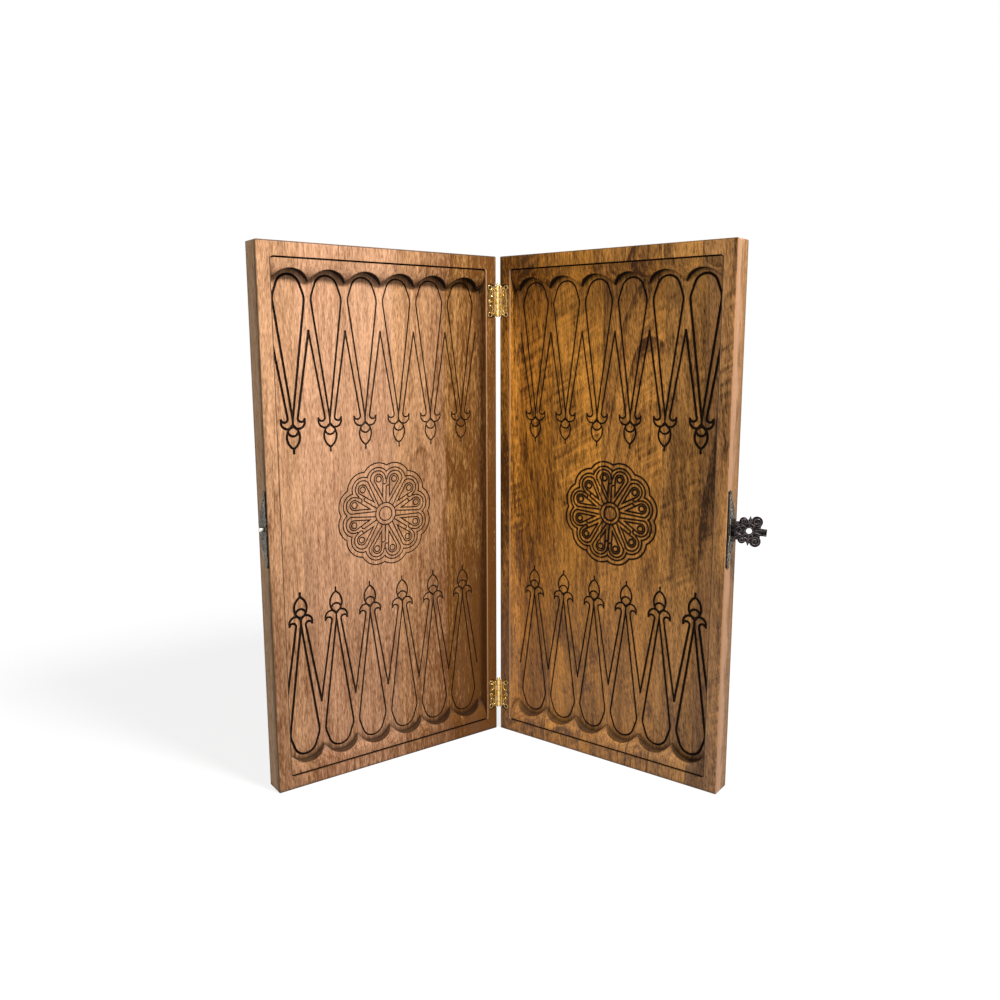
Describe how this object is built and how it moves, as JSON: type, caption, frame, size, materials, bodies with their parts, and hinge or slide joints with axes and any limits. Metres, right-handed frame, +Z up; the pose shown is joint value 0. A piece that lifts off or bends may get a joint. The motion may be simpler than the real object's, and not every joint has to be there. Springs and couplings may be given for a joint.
{
  "type": "folding backgammon board",
  "caption": "Folding walnut backgammon board with carved points and rosettes, scalloped ledges, brass butt hinges and a bronze flap clasp, standing open on its ends.",
  "frame": {"origin": "On the floor, under the middle of the bounding box of the board as it stands open, its clasp flap included.", "axes": "+Z up, along the grain and the hinge pins; -Y is the side from which the carved insides are seen; +X is to the right, towards the half with the flap."},
  "size_m": [0.4522, 0.1724, 0.5],
  "materials": {
    "walnut": "oiled and stained, satin",
    "hinge_brass": "pressed, bright",
    "grey_bronze": "antiqued grey",
    "black_bronze": "antiqued black",
    "nail_steel": "dull"
  },
  "bodies": {
    "left_half": {"left_stave_1": "walnut", "left_stave_2": "walnut", "left_stave_3": "walnut", "left_stave_4": "walnut", "left_stave_5": "walnut", "upper_hinge_left_leaf": "hinge_brass", "upper_hinge_pin": "hinge_brass", "upper_hinge_left_nails": "nail_steel", "lower_hinge_left_leaf": "hinge_brass", "lower_hinge_pin": "hinge_brass", "lower_hinge_left_nails": "nail_steel", "strike_plate": "grey_bronze", "strike_nails": "nail_steel", "strike_stud": "grey_bronze"},
    "right_half": {"right_stave_1": "walnut", "right_stave_2": "walnut", "right_stave_3": "walnut", "right_stave_4": "walnut", "right_stave_5": "walnut", "upper_hinge_right_leaf": "hinge_brass", "upper_hinge_right_nails": "nail_steel", "lower_hinge_right_leaf": "hinge_brass", "lower_hinge_right_nails": "nail_steel", "clasp_base_plate": "grey_bronze", "clasp_base_nails": "nail_steel", "clasp_pin": "black_bronze"},
    "clasp_flap": {"clasp_flap": "black_bronze"}
  },
  "joints": [
    {"name": "board_fold", "type": "hinge", "parent": "left_half", "child": "right_half", "pos_m": [-0.01058, 0.06939, 0.25], "axis": [0, 0, 1], "range_deg": [-107, 73]},
    {"name": "clasp_turn", "type": "hinge", "parent": "right_half", "child": "clasp_flap", "pos_m": [0.19817, -0.07737, 0.25], "axis": [0, 0, 1], "range_deg": [-110, 65]}
  ]
}
